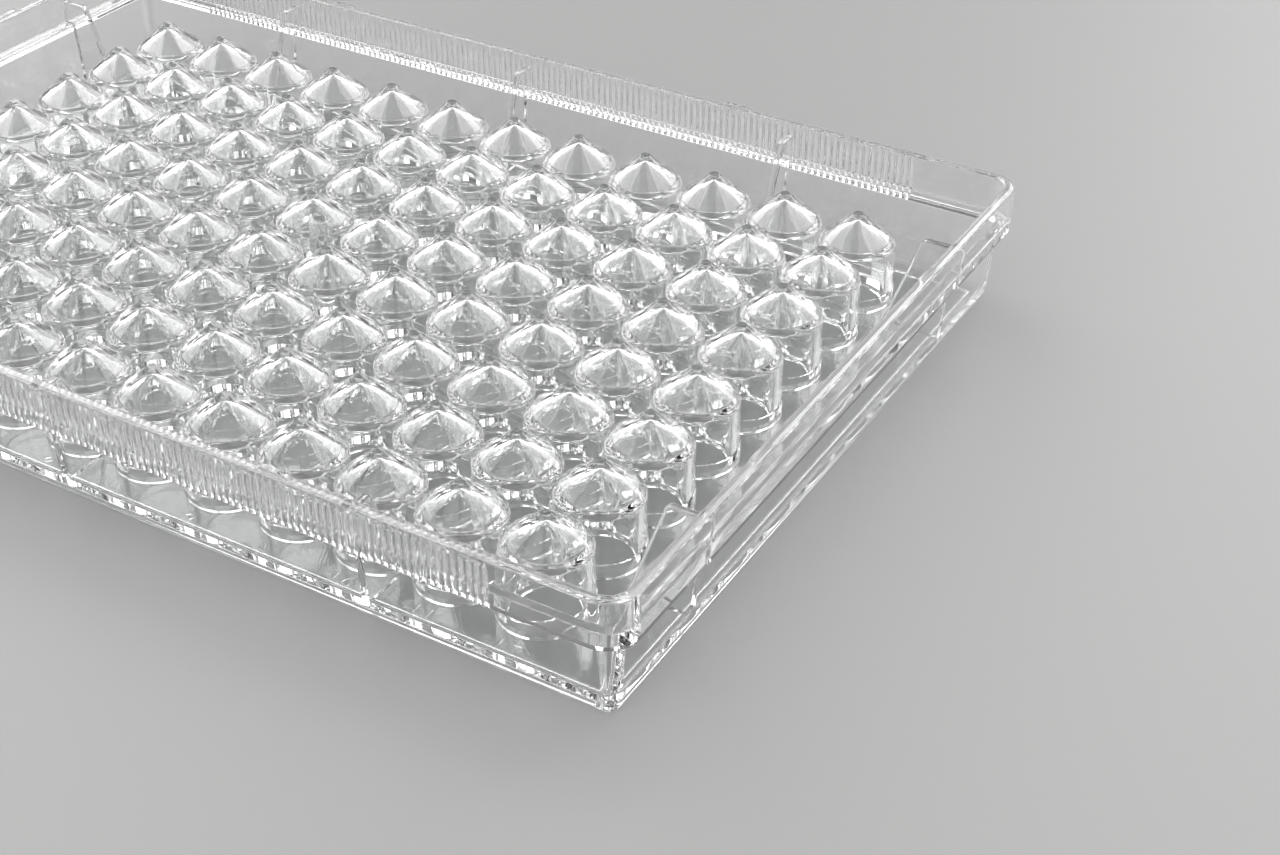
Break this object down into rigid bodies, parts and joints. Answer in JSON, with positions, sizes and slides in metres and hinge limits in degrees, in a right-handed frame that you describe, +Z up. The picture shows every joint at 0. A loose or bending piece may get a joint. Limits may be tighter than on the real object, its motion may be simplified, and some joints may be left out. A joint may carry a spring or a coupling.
{
  "type": "well plate",
  "caption": "Clear moulded well plate with a grid of conical wells, a skirt wall and a wider ribbed base flange, lying upside down.",
  "frame": {"origin": "under the middle of the plate, on the surface that the well rims rest on", "axes": "+Z up, from the well mouths to the base rim, because the plate lies upside down; +X along the rows, from column 1 to column 12; +Y from row A to row H"},
  "size_m": [0.1278, 0.0854, 0.0143],
  "materials": {
    "polystyrene": "clear colourless glossy polystyrene, as moulded"
  },
  "bodies": {
    "root": {"well_plate": "polystyrene"}
  },
  "joints": []
}
